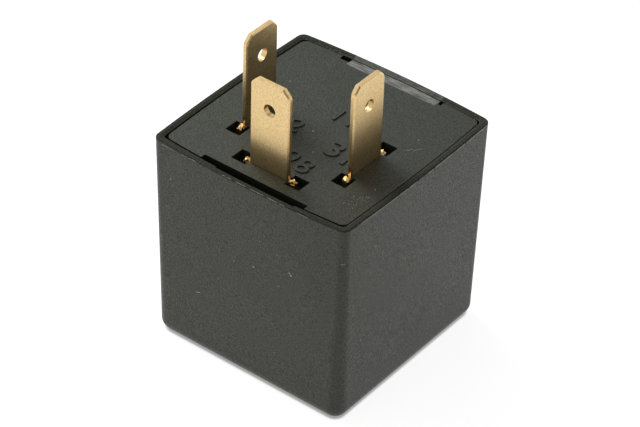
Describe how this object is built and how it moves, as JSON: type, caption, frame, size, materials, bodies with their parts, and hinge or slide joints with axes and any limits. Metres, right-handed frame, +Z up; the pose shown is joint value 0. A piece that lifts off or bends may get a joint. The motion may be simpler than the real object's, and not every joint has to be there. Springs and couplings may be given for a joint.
{
  "type": "automotive flasher relay",
  "caption": "Cube-shaped plug-in automotive relay: black moulded can, base with staked brass blades, and an armature relay on a circuit board inside.",
  "frame": {"origin": "middle of the flat closed end of the can, on which the relay stands", "axes": "+Z up out of the can's mouth, along the blades; +X along the front latch slot, towards the right blade; +Y away from the front blade"},
  "size_m": [0.0322, 0.0326, 0.0459],
  "materials": {
    "can_plastic": "fine-grained black moulding, lightly dusty",
    "base_plastic": "fine-grained black moulding",
    "blade_brass": "rolled brass, slightly mottled",
    "board_laminate": "varnished laminate",
    "solder": "dull solder",
    "iron": "zinc-plated soft iron",
    "bobbin_plastic": "natural nylon",
    "enamelled_wire": "enamelled wire, close wound",
    "tinned_wire": "tinned",
    "spring_bronze": "rolled bronze strip",
    "contact_silver": "silver contact face",
    "chip_plastic": "moulded epoxy",
    "can_aluminium": "drawn aluminium",
    "seal_rubber": "moulded rubber",
    "resistor_coat": "lacquered",
    "diode_coat": "moulded epoxy with a pale band"
  },
  "bodies": {
    "housing": {"cover": "can_plastic", "base": "base_plastic", "front_terminal": "blade_brass", "left_terminal": "blade_brass", "right_terminal": "blade_brass", "circuit_board": "board_laminate", "solder_joints": "solder", "yoke": "iron", "core": "iron", "bobbin": "bobbin_plastic", "coil_winding": "enamelled_wire", "coil_pins": "tinned_wire", "yoke_rivets": "blade_brass", "contact_bracket": "blade_brass", "fixed_contact": "contact_silver", "back_stop": "blade_brass", "flasher_chip": "chip_plastic", "chip_legs": "tinned_wire", "capacitor_can": "can_aluminium", "capacitor_seal": "seal_rubber", "capacitor_leads": "tinned_wire", "resistors": "resistor_coat", "resistor_leads": "tinned_wire", "diode": "diode_coat", "diode_leads": "tinned_wire", "shunt_strip": "spring_bronze"},
    "rocker": {"armature": "iron", "armature_rivets": "blade_brass", "hinge_spring": "spring_bronze", "moving_contact": "contact_silver"}
  },
  "joints": [
    {"name": "armature_hinge", "type": "hinge", "parent": "housing", "child": "rocker", "pos_m": [0.00302, 0.00945, 0.01114], "axis": [-1, 0, 0], "range_deg": [0, 4], "stiffness_Nm_per_rad": 0.005, "springref_deg": -5.73, "deforming": ["hinge_spring"]}
  ]
}
